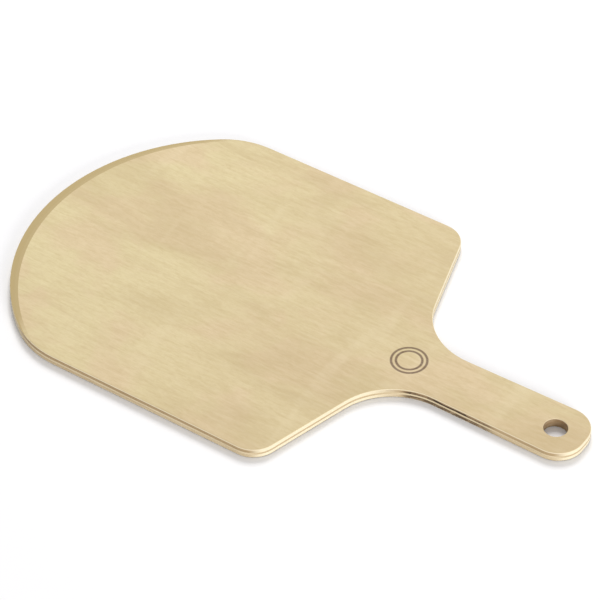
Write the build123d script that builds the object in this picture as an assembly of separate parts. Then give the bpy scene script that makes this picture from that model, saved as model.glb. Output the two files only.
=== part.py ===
from build123d import *
import os
from math import radians, sqrt, tan

# Plywood pizza peel: five birch veneers and the glue lines that bond them.
#
# Frame: millimetres, origin at the middle of the footprint on the underside, +X from the
# bevelled front edge towards the end of the handle, +Z up through the thickness.

# Driving dimensions of the board
LENGTH = 500.0              # front edge to the end of the handle
BLADE_WIDTH = 300.0         # across the blade, between its parallel sides
BLADE_LENGTH = 303.0        # front edge to the rear corners
NECK_WIDTH = 48.0           # handle where it leaves the blade
HANDLE_WIDTH = 52.0         # handle at its end
SHOULDER_ANGLE = 16.0       # degrees that each rear shoulder leans back towards the handle

# Curves of the outline
FRONT_RADIUS = 167.5
FRONT_CORNER_RADIUS = 72.0
REAR_CORNER_RADIUS = 22.0
NECK_RADIUS = 56.0
HANDLE_END_RADIUS = 22.0

# Hanging hole, on the centre line of the handle
HOLE_DIAMETER = 19.0
HOLE_TO_END = 25.5

# Veneers, from the underside up: back, crossband, core, crossband, face
OUTER_VENEER = 0.6
CROSSBAND = 2.7
CORE = 1.5
GLUE_LINE = 0.1

# Front bevel: a crescent that fades out at both front corners
BEVEL_WIDTH = 9.0
BEVEL_DROP = 2.0
BEVEL_INNER_RADIUS = 171.0

# Sanded arrises
TOP_ROUND = 1.2
BOTTOM_ROUND = 0.8
HOLE_ROUND = 0.4

LAYERS = [
    ("back_veneer", OUTER_VENEER),
    ("back_glue_line", GLUE_LINE),
    ("lower_crossband", CROSSBAND),
    ("lower_core_glue_line", GLUE_LINE),
    ("core_veneer", CORE),
    ("upper_core_glue_line", GLUE_LINE),
    ("upper_crossband", CROSSBAND),
    ("face_glue_line", GLUE_LINE),
    ("face_veneer", OUTER_VENEER),
]

THICKNESS = sum(depth for _, depth in LAYERS)
FRONT_X = -LENGTH / 2
END_X = LENGTH / 2
CLEAR = 20.0                # how far the cutting tools reach past the board's outline
HEADROOM = 5.0              # how far the bevel's tool reaches above its top face


def board_outline():
    """Flat outline of the peel, seen from above."""
    half_width = BLADE_WIDTH / 2
    half_neck = NECK_WIDTH / 2
    half_handle = HANDLE_WIDTH / 2
    corner_x = FRONT_X + FRONT_RADIUS - sqrt(FRONT_RADIUS**2 - half_width**2)
    rear_x = FRONT_X + BLADE_LENGTH
    neck_x = rear_x + (half_width - half_neck) * tan(radians(SHOULDER_ANGLE))

    front = ThreePointArc((corner_x, -half_width), (FRONT_X, 0), (corner_x, half_width))
    back = Polyline(
        (corner_x, half_width),
        (rear_x, half_width),
        (neck_x, half_neck),
        (END_X, half_handle),
        (END_X, -half_handle),
        (neck_x, -half_neck),
        (rear_x, -half_width),
        (corner_x, -half_width),
    )
    face = make_face(Curve() + [front, back])
    for corner, radius in (
        (corner_x, FRONT_CORNER_RADIUS),
        (rear_x, REAR_CORNER_RADIUS),
        (neck_x, NECK_RADIUS),
        (END_X, HANDLE_END_RADIUS),
    ):
        pair = face.vertices().filter_by(lambda vertex: abs(vertex.X - corner) < 0.01)
        face = fillet(pair, radius)
    return face


def rounded_board():
    """Full-thickness board with its arrises sanded round and its hanging hole."""
    board = extrude(board_outline(), THICKNESS)
    board = fillet(board.edges().group_by(Axis.Z)[-1], TOP_ROUND)
    board = fillet(board.edges().group_by(Axis.Z)[0], BOTTOM_ROUND)
    hole_x = END_X - HOLE_TO_END
    radius = HOLE_DIAMETER / 2
    board -= Pos(hole_x, 0, THICKNESS / 2) * Cylinder(radius, THICKNESS + CLEAR)
    rims = board.edges().filter_by(
        lambda edge: edge.geom_type == GeomType.CIRCLE and abs(edge.radius - radius) < 0.01
    )
    return fillet(rims, HOLE_ROUND)


def bevel_cutter():
    """Everything that the sloping front crescent takes off the board's upper side."""
    run_per_drop = BEVEL_WIDTH / BEVEL_DROP
    centre_x = FRONT_X + BEVEL_WIDTH + BEVEL_INNER_RADIUS
    height = THICKNESS + HEADROOM
    foot_radius = BEVEL_INNER_RADIUS + THICKNESS * run_per_drop
    top_radius = BEVEL_INNER_RADIUS - HEADROOM * run_per_drop
    kept = Pos(centre_x, 0, height / 2) * Cone(foot_radius, top_radius, height)

    front_end = FRONT_X - CLEAR
    front = Pos((front_end + centre_x) / 2, 0, height / 2) * Box(
        centre_x - front_end, BLADE_WIDTH + CLEAR, height
    )
    return front - kept


def slice_layers(board):
    """Cut the shaped board at every glue line and yield each layer with its name."""
    bottom = 0.0
    for name, depth in LAYERS:
        slab = Pos(0, 0, bottom + depth / 2) * Box(LENGTH + CLEAR, BLADE_WIDTH + CLEAR, depth)
        yield name, board & slab
        bottom += depth


def main():
    os.makedirs("parts", exist_ok=True)
    board = rounded_board() - bevel_cutter()
    for name, layer in slice_layers(board):
        layer.label = name
        export_step(layer, f"parts/{name}.step")


main()
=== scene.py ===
import math

import bpy
from mathutils import Matrix, Vector

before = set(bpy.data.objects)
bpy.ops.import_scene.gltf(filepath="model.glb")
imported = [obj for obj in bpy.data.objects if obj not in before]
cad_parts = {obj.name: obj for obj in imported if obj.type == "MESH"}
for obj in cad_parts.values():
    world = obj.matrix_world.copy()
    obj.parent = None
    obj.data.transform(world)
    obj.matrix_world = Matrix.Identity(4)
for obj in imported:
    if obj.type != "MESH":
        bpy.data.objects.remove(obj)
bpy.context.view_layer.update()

# Plywood pizza peel, lying on a pale floor. Metres, same frame as the CAD: +X towards the end of
# the handle, +Z up, origin in the middle of the underside.

# Camera: where it looks from, in degrees, and what it looks at
CAMERA_AZIMUTH = 33.789
CAMERA_ELEVATION = 42.994
CAMERA_ROLL = 0.051
CAMERA_DISTANCE = 2.4
CAMERA_TARGET = Vector((-0.018845, 0.017316, 0.0))
CAMERA_LENS = 182.04            # millimetres, like the sensor
CAMERA_SENSOR = 36.0
CAMERA_CLIP = (0.1, 50.0)

# Wood colours, linear
FACE_PALE = (0.605, 0.515, 0.292)
FACE_WARM = (0.562, 0.460, 0.260)
FACE_DEEP = (0.435, 0.330, 0.168)
# Cream: faint pale streaks on the face, and the painted highlight on the rounded arrises
CREAM_TONE_AND_HIGHLIGHT = (0.850, 0.755, 0.560)
FACE_ROSE = (0.590, 0.452, 0.280)
# Painted shade on the back veneer's rounded lower arris, where it meets the floor
LOWER_ARRIS_SHADE = (0.300, 0.240, 0.155)
BEVEL_TAN = (0.440, 0.338, 0.162)
END_GRAIN = (0.470, 0.345, 0.195)
END_GRAIN_DARK = (0.330, 0.225, 0.115)
# Long grain at the crossbands' ends: paler than end grain, and lightened further as a painted
# highlight
SIDE_GRAIN_AND_HIGHLIGHT = (0.850, 0.770, 0.570)
CORE_PALE = (0.690, 0.580, 0.390)
# Near black: painted shade inside open pits and core voids
PIT_AND_VOID_SHADE = (0.035, 0.018, 0.009)
GLUE = (0.330, 0.235, 0.135)
BURNT = (0.100, 0.050, 0.021)
# Painted shade on the wall of the hanging hole
HOLE_WALL_SHADE = (0.290, 0.185, 0.095)
KNOT = (0.215, 0.140, 0.072)

# Plain burnt double ring on the face, where the handle leaves the blade, metres
MARK_PLACE = (0.094, 0.0, 0.0)
MARK_RADII = (0.0140, 0.0102)
MARK_LINE = 0.0014              # from the middle of a line to where it has faded out
MARK_CORE = 0.4                 # share of that reach which is fully dark

# Each pair below is a fade from its first value to its second.

# Bevel: how squarely its slope faces up, and where along the peel it ends, metres
BEVEL_TILT_FROM = (0.960, 0.972)
BEVEL_TILT_TO = (0.980, 0.992)
BEVEL_END = (-0.19, -0.17)
FLAT_TILT = (0.80, 0.95)        # sloping enough, on an inner layer, to be the bevel

# Space round the wall of the hanging hole, which is darkened as painted shade, clear of the
# handle's own outline, metres
HOLE_FROM = (0.2130, 0.2140)
HOLE_TO = (0.2350, 0.2360)
HOLE_SIDE = (0.0100, 0.0110)
HOLE_STRENGTH = 0.85

# Knotty stretch on the near side of the handle, below the rounded arris, metres
KNOT_FROM = (0.104, 0.114)
KNOT_TO = (0.168, 0.190)
KNOT_SIDE = (-0.020, -0.018)
KNOT_TOP = (0.0068, 0.0074)
KNOT_STRENGTH = 0.80

# Tone of the face along the peel, metres
FACE_DRIFT = (-0.22, 0.06)

# Shifts that give each veneer its own stretch of grain
NO_SHIFT = (0.0, 0.0, 0.0)
BACK_SHIFT = (5.0, 3.0, 2.0)
LOWER_SHIFT = (7.0, 2.0, 4.0)

# Floor and lights
FLOOR_COLOUR = (0.83, 0.83, 0.85, 1.0)
FLOOR_ROUGHNESS = 0.9
FLOOR_REACH = 6.0
FLOOR_HEIGHT = -0.0002          # a hair below the underside, so that the two never coincide
KEY_LIGHT = {"place": (-1.0, 1.9, 2.6), "size": 1.4, "power": 74.0, "colour": (1.0, 0.99, 0.97)}
EDGE_LIGHT = {"place": (2.6, -1.5, 0.9), "size": 1.0, "power": 56.0, "colour": (1.0, 0.98, 0.94)}
SURROUND_COLOUR = (1.0, 1.0, 1.0, 1.0)
SURROUND_STRENGTH = 0.62

WOOD_SPECULAR = 0.3
ROUGH_SPAN = (0.3, 0.7)         # part of a noise that sweeps the roughness from low to high

# Sockets of the colour Mix node
MIX_FACTOR = 0
MIX_COLOURS = (6, 7)
MIX_RESULT = 2


class Nodes:
    """Short calls for building one material's node tree."""

    def __init__(self, name, roughness):
        self.material = bpy.data.materials.new(name)
        self.material.use_nodes = True
        self.tree = self.material.node_tree
        self.shader = self.tree.nodes["Principled BSDF"]
        self.shader.inputs["Roughness"].default_value = roughness
        self.shader.inputs["Specular IOR Level"].default_value = WOOD_SPECULAR
        coordinates = self.tree.nodes.new("ShaderNodeTexCoord")
        self.place = coordinates.outputs["Object"]

    def link(self, source, target):
        self.tree.links.new(source, target)

    def stretch(self, scale, shift=NO_SHIFT):
        """Object coordinates scaled on each axis, then shifted."""
        node = self.tree.nodes.new("ShaderNodeMapping")
        node.inputs["Scale"].default_value = scale
        node.inputs["Location"].default_value = shift
        self.link(self.place, node.inputs["Vector"])
        return node.outputs["Vector"]

    def noise(self, scale, shift=NO_SHIFT, *, detail, roughness, distortion=0.0):
        """Noise with its own scale on each axis, in cells per metre."""
        node = self.tree.nodes.new("ShaderNodeTexNoise")
        node.inputs["Scale"].default_value = 1.0
        node.inputs["Detail"].default_value = detail
        node.inputs["Roughness"].default_value = roughness
        node.inputs["Distortion"].default_value = distortion
        self.link(self.stretch(scale, shift), node.inputs["Vector"])
        return node.outputs["Fac"]

    def ramp(self, value, low, high, bottom=0.0, top=1.0):
        """Value mapped from low..high to bottom..top, clamped."""
        node = self.tree.nodes.new("ShaderNodeMapRange")
        node.interpolation_type = "SMOOTHSTEP"
        node.inputs["From Min"].default_value = low
        node.inputs["From Max"].default_value = high
        node.inputs["To Min"].default_value = bottom
        node.inputs["To Max"].default_value = top
        self.link(value, node.inputs["Value"])
        return node.outputs["Result"]

    def math(self, operation, first, second=0.0):
        """One sum on numbers or sockets."""
        node = self.tree.nodes.new("ShaderNodeMath")
        node.operation = operation
        for socket, value in zip(node.inputs, (first, second)):
            if isinstance(value, float):
                socket.default_value = value
            else:
                self.link(value, socket)
        return node.outputs["Value"]

    def mix(self, factor, first, second):
        """Two colours mixed by a factor; a colour is a tuple or a socket."""
        node = self.tree.nodes.new("ShaderNodeMix")
        node.data_type = "RGBA"
        for index, value in zip(MIX_COLOURS, (first, second)):
            socket = node.inputs[index]
            if isinstance(value, tuple):
                socket.default_value = (*value, 1.0)
            else:
                self.link(value, socket)
        if isinstance(factor, float):
            node.inputs[MIX_FACTOR].default_value = factor
        else:
            self.link(factor, node.inputs[MIX_FACTOR])
        return node.outputs[MIX_RESULT]

    def split(self, vector):
        node = self.tree.nodes.new("ShaderNodeSeparateXYZ")
        self.link(vector, node.inputs["Vector"])
        return node.outputs

    def facing(self, axis):
        """One where the surface squarely faces an axis, either way, less where it turns away."""
        geometry = self.tree.nodes.new("ShaderNodeNewGeometry")
        return self.math("ABSOLUTE", self.split(geometry.outputs["Normal"])[axis])

    def where(self, axis, low, high, bottom=0.0, top=1.0):
        """Fade along one axis of the peel."""
        return self.ramp(self.split(self.place)[axis], low, high, bottom, top)

    def both(self, first, second):
        return self.math("MULTIPLY", first, second)

    def shaded_hole_wall(self):
        """Painted shade on the wall of the hanging hole: high on the wall, none on the outline
        round it.
        """
        along = self.both(self.where("X", *HOLE_FROM), self.where("X", *HOLE_TO, 1.0, 0.0))
        across = self.math("ABSOLUTE", self.split(self.place)["Y"])
        return self.both(along, self.ramp(across, *HOLE_SIDE, HOLE_STRENGTH, 0.0))

    def ring(self, radius, line):
        """One on a thin circle round the mark's centre."""
        flat = self.stretch((1.0, 1.0, 0.0))
        node = self.tree.nodes.new("ShaderNodeVectorMath")
        node.operation = "DISTANCE"
        self.link(flat, node.inputs[0])
        node.inputs[1].default_value = MARK_PLACE
        gap = self.math("ABSOLUTE", self.math("SUBTRACT", node.outputs["Value"], radius))
        return self.ramp(gap, line * MARK_CORE, line, 1.0, 0.0)

    def bump(self, height, distance, strength):
        node = self.tree.nodes.new("ShaderNodeBump")
        node.inputs["Distance"].default_value = distance
        node.inputs["Strength"].default_value = strength
        self.link(height, node.inputs["Height"])
        self.link(node.outputs["Normal"], self.shader.inputs["Normal"])

    def colour(self, socket):
        self.link(socket, self.shader.inputs["Base Color"])

    def rough(self, value, low, high):
        self.link(self.ramp(value, *ROUGH_SPAN, low, high), self.shader.inputs["Roughness"])


def face_material(name, shift, arris, marked):
    """Sanded veneer: fine streaks along X, broad clouds, flecks, and its rounded arrises in the
    arris colour given: a painted highlight on the face veneer, painted shade on the back veneer.
    """
    n = Nodes(name, 0.55)
    clouds = n.noise((6.0, 15.0, 15.0), shift, detail=5.0, roughness=0.6, distortion=0.5)
    bands = n.noise((7.0, 48.0, 48.0), shift, detail=6.0, roughness=0.68, distortion=0.9)
    streaks = n.noise((60.0, 420.0, 420.0), shift, detail=5.0, roughness=0.7, distortion=0.5)
    fibres = n.noise((110.0, 1400.0, 1400.0), shift, detail=3.0, roughness=0.6)
    flecks = n.noise((90.0, 800.0, 800.0), shift, detail=2.0, roughness=0.5)
    mottle = n.noise((260.0, 520.0, 520.0), shift, detail=3.0, roughness=0.65)
    blush = n.noise((13.0, 17.0, 17.0), shift, detail=3.0, roughness=0.55, distortion=0.6)
    ripple = n.noise((30.0, 5.0, 5.0), shift, detail=2.0, roughness=0.5, distortion=0.8)

    colour = n.mix(n.where("X", *FACE_DRIFT), FACE_PALE, FACE_WARM)
    colour = n.mix(n.ramp(blush, 0.42, 0.62, 0.0, 0.65), colour, FACE_ROSE)
    colour = n.mix(n.ramp(clouds, 0.40, 0.66, 0.0, 0.40), colour, FACE_DEEP)
    colour = n.mix(n.ramp(bands, 0.48, 0.74, 0.0, 0.32), colour, FACE_DEEP)
    colour = n.mix(n.ramp(streaks, 0.42, 0.72, 0.0, 0.24), colour, FACE_DEEP)
    colour = n.mix(n.ramp(fibres, 0.46, 0.76, 0.0, 0.30), colour, END_GRAIN)
    colour = n.mix(n.ramp(mottle, 0.40, 0.70, 0.0, 0.20), colour, FACE_DEEP)
    colour = n.mix(n.ramp(flecks, 0.70, 0.80, 0.0, 0.45), colour, END_GRAIN)
    colour = n.mix(n.ramp(ripple, 0.56, 0.76, 0.0, 0.08), colour, CREAM_TONE_AND_HIGHLIGHT)
    level = n.facing("Z")
    # Rounded arrises in the arris colour: a painted highlight on the face veneer, painted shade
    # on the back veneer
    colour = n.mix(n.ramp(level, 0.55, 0.95, 0.8, 0.0), colour, arris)
    bevel = n.both(n.ramp(level, *BEVEL_TILT_FROM), n.ramp(level, *BEVEL_TILT_TO, 1.0, 0.0))
    colour = n.mix(n.both(bevel, n.where("X", *BEVEL_END, 0.92, 0.0)), colour, BEVEL_TAN)
    if marked:
        char = n.ramp(fibres, 0.30, 0.62, 0.95, 0.78)
        for radius in MARK_RADII:
            colour = n.mix(n.both(n.ring(radius, MARK_LINE), char), colour, BURNT)
    n.colour(colour)
    n.rough(streaks, 0.50, 0.66)
    n.bump(fibres, 0.00005, 0.35)
    return n.material


def crossband_material(name, shift, pale, dark, voids):
    """Veneer with its grain across the peel: end grain on the sides, long grain at the ends,
    which are lightened further as a painted highlight.
    """
    n = Nodes(name, 0.7)
    layers = n.noise((9.0, 9.0, 1300.0), shift, detail=4.0, roughness=0.6, distortion=0.3)
    cells = n.noise((900.0, 60.0, 900.0), shift, detail=3.0, roughness=0.6)
    patches = n.noise((38.0, 22.0, 22.0), shift, detail=3.0, roughness=0.5, distortion=0.4)
    pits = n.noise((160.0, 120.0, 420.0), shift, detail=3.0, roughness=0.6, distortion=0.6)
    gaps = n.noise((85.0, 85.0, 480.0), shift, detail=4.0, roughness=0.62, distortion=0.8)

    colour = n.mix(n.ramp(layers, 0.34, 0.68), pale, dark)
    colour = n.mix(n.ramp(cells, 0.45, 0.75, 0.0, 0.35), colour, dark)
    colour = n.mix(n.ramp(patches, 0.40, 0.72, 0.0, 0.35), colour, dark)
    # Ends of the crossbands: long grain, lightened further as a painted highlight
    side_grain_and_highlight = n.ramp(n.facing("X"), 0.35, 0.85)
    colour = n.mix(n.both(side_grain_and_highlight, 0.85), colour, SIDE_GRAIN_AND_HIGHLIGHT)
    # Painted highlight on the rounded arrises
    colour = n.mix(n.ramp(n.facing("Z"), 0.10, 0.50, 0.0, 0.75), colour, CREAM_TONE_AND_HIGHLIGHT)
    # Painted shade in small pits
    colour = n.mix(n.ramp(pits, 0.70, 0.78, 0.0, 0.8), colour, PIT_AND_VOID_SHADE)
    knots = n.both(n.where("X", *KNOT_FROM), n.where("X", *KNOT_TO, 1.0, 0.0))
    knots = n.both(knots, n.where("Y", *KNOT_SIDE, 1.0, 0.0))
    knots = n.both(knots, n.where("Z", *KNOT_TOP, 1.0, 0.0))
    colour = n.mix(n.both(knots, KNOT_STRENGTH), colour, KNOT)
    # Painted shade inside the core voids
    colour = n.mix(n.both(n.both(knots, voids), n.ramp(gaps, 0.46, 0.50)), colour, PIT_AND_VOID_SHADE)
    colour = n.mix(n.ramp(n.facing("Z"), *FLAT_TILT), colour, BEVEL_TAN)
    # Painted shade on the wall of the hanging hole
    colour = n.mix(n.shaded_hole_wall(), colour, HOLE_WALL_SHADE)
    n.colour(colour)
    n.rough(cells, 0.62, 0.80)
    n.bump(cells, 0.00010, 0.5)
    return n.material


def core_material(name):
    """Thin pale veneer with its grain along the peel: end grain at the ends."""
    n = Nodes(name, 0.65)
    streaks = n.noise((14.0, 14.0, 2200.0), detail=4.0, roughness=0.6, distortion=0.2)
    patches = n.noise((30.0, 30.0, 30.0), detail=3.0, roughness=0.5)
    fibres = n.noise((90.0, 1200.0, 1200.0), detail=3.0, roughness=0.6)
    colour = n.mix(n.ramp(streaks, 0.42, 0.72, 0.0, 0.5), CORE_PALE, END_GRAIN)
    colour = n.mix(n.ramp(patches, 0.40, 0.70, 0.0, 0.3), colour, FACE_DEEP)
    colour = n.mix(n.ramp(n.facing("X"), 0.35, 0.85, 0.0, 0.7), colour, END_GRAIN)
    # Painted shade on the wall of the hanging hole
    colour = n.mix(n.shaded_hole_wall(), colour, HOLE_WALL_SHADE)
    n.colour(colour)
    n.rough(fibres, 0.58, 0.72)
    n.bump(fibres, 0.00005, 0.35)
    return n.material


def glue_material(name):
    """Cured glue film, brown, thicker and thinner along its line, pale on the rounded arris as a
    painted highlight, tan on the bevel.
    """
    n = Nodes(name, 0.6)
    runs = n.noise((120.0, 120.0, 120.0), detail=3.0, roughness=0.6)
    colour = n.mix(n.ramp(runs, 0.35, 0.65), GLUE, END_GRAIN)
    level = n.facing("Z")
    # Painted highlight where the edge rounds over
    colour = n.mix(n.ramp(level, 0.15, 0.40, 0.0, 0.8), colour, CREAM_TONE_AND_HIGHLIGHT)
    colour = n.mix(n.ramp(level, *FLAT_TILT), colour, BEVEL_TAN)
    # Painted shade on the wall of the hanging hole
    colour = n.mix(n.shaded_hole_wall(), colour, HOLE_WALL_SHADE)
    n.colour(colour)
    n.rough(runs, 0.45, 0.65)
    n.bump(runs, 0.00004, 0.3)
    return n.material


def floor_material(name):
    """Matt white, without a sheen."""
    material = bpy.data.materials.new(name)
    material.use_nodes = True
    shader = material.node_tree.nodes["Principled BSDF"]
    shader.inputs["Base Color"].default_value = FLOOR_COLOUR
    shader.inputs["Roughness"].default_value = FLOOR_ROUGHNESS
    shader.inputs["Specular IOR Level"].default_value = 0.0
    return material


def dress(node, material):
    """Give a CAD node its material in every slot."""
    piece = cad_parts[node]
    for slot in piece.material_slots:
        slot.material = material


def dress_layers():
    # The face veneer's rounded arris gets a painted highlight
    dress("face_veneer", face_material("birch_face", NO_SHIFT, CREAM_TONE_AND_HIGHLIGHT, True))
    # Painted shade on the back veneer's lower arris, standing in for the contact shadow
    dress("back_veneer", face_material("birch_back", BACK_SHIFT, LOWER_ARRIS_SHADE, False))
    # The upper crossband is given darker colours than the lower one: partly the veneers' own
    # tone, partly painted shade on the upper band and painted floor bounce on the lower band
    dress("upper_crossband", crossband_material(
        "birch_upper_crossband", NO_SHIFT, END_GRAIN, END_GRAIN_DARK, 1.0))
    dress("lower_crossband", crossband_material(
        "birch_lower_crossband", LOWER_SHIFT, CORE_PALE, END_GRAIN, 0.6))
    dress("core_veneer", core_material("birch_core"))
    glue = glue_material("glue_film")
    dress("face_glue_line", glue)
    dress("upper_core_glue_line", glue)
    dress("lower_core_glue_line", glue)
    dress("back_glue_line", glue)


def add_camera():
    """A long lens above the near side of the handle's end."""
    azimuth, elevation, roll = map(math.radians, (CAMERA_AZIMUTH, CAMERA_ELEVATION, CAMERA_ROLL))
    flat = math.cos(elevation)
    back = Vector((math.sin(azimuth) * flat, -math.cos(azimuth) * flat, math.sin(elevation)))
    level = Vector((math.cos(azimuth), math.sin(azimuth), 0.0))
    upright = back.cross(level)
    right = level * math.cos(roll) + upright * math.sin(roll)
    up = upright * math.cos(roll) - level * math.sin(roll)

    data = bpy.data.cameras.new("camera")
    data.lens = CAMERA_LENS
    data.sensor_width = CAMERA_SENSOR
    data.clip_start, data.clip_end = CAMERA_CLIP
    camera = bpy.data.objects.new("camera", data)
    bpy.context.scene.collection.objects.link(camera)
    turn = Matrix((right, up, back)).transposed().to_4x4()
    camera.matrix_world = Matrix.Translation(CAMERA_TARGET + back * CAMERA_DISTANCE) @ turn
    bpy.context.scene.camera = camera


def add_floor():
    """A plain white floor that the peel lies on."""
    mesh = bpy.data.meshes.new("floor")
    corners = [
        (x * FLOOR_REACH, y * FLOOR_REACH, FLOOR_HEIGHT)
        for x, y in ((-1, -1), (1, -1), (1, 1), (-1, 1))
    ]
    mesh.from_pydata(corners, [], [(0, 1, 2, 3)])
    floor = bpy.data.objects.new("floor", mesh)
    bpy.context.scene.collection.objects.link(floor)
    floor.data.materials.append(floor_material("floor_white"))


def add_area_light(name, place, size, power, colour):
    """A soft square light aimed at the peel."""
    data = bpy.data.lights.new(name, "AREA")
    data.shape = "SQUARE"
    data.size = size
    data.energy = power
    data.color = colour
    light = bpy.data.objects.new(name, data)
    bpy.context.scene.collection.objects.link(light)
    light.location = place
    light.rotation_mode = "QUATERNION"
    light.rotation_quaternion = (-Vector(place)).to_track_quat("-Z", "Y")


def add_lighting():
    """Key over the far side, a low light off the end of the handle, an even white surround."""
    add_area_light("key", **KEY_LIGHT)
    add_area_light("edge", **EDGE_LIGHT)
    world = bpy.data.worlds.new("studio")
    world.use_nodes = True
    background = world.node_tree.nodes["Background"]
    background.inputs["Color"].default_value = SURROUND_COLOUR
    background.inputs["Strength"].default_value = SURROUND_STRENGTH
    bpy.context.scene.world = world


add_camera()
dress_layers()
add_floor()
add_lighting()
bpy.context.scene.view_settings.view_transform = "Standard"
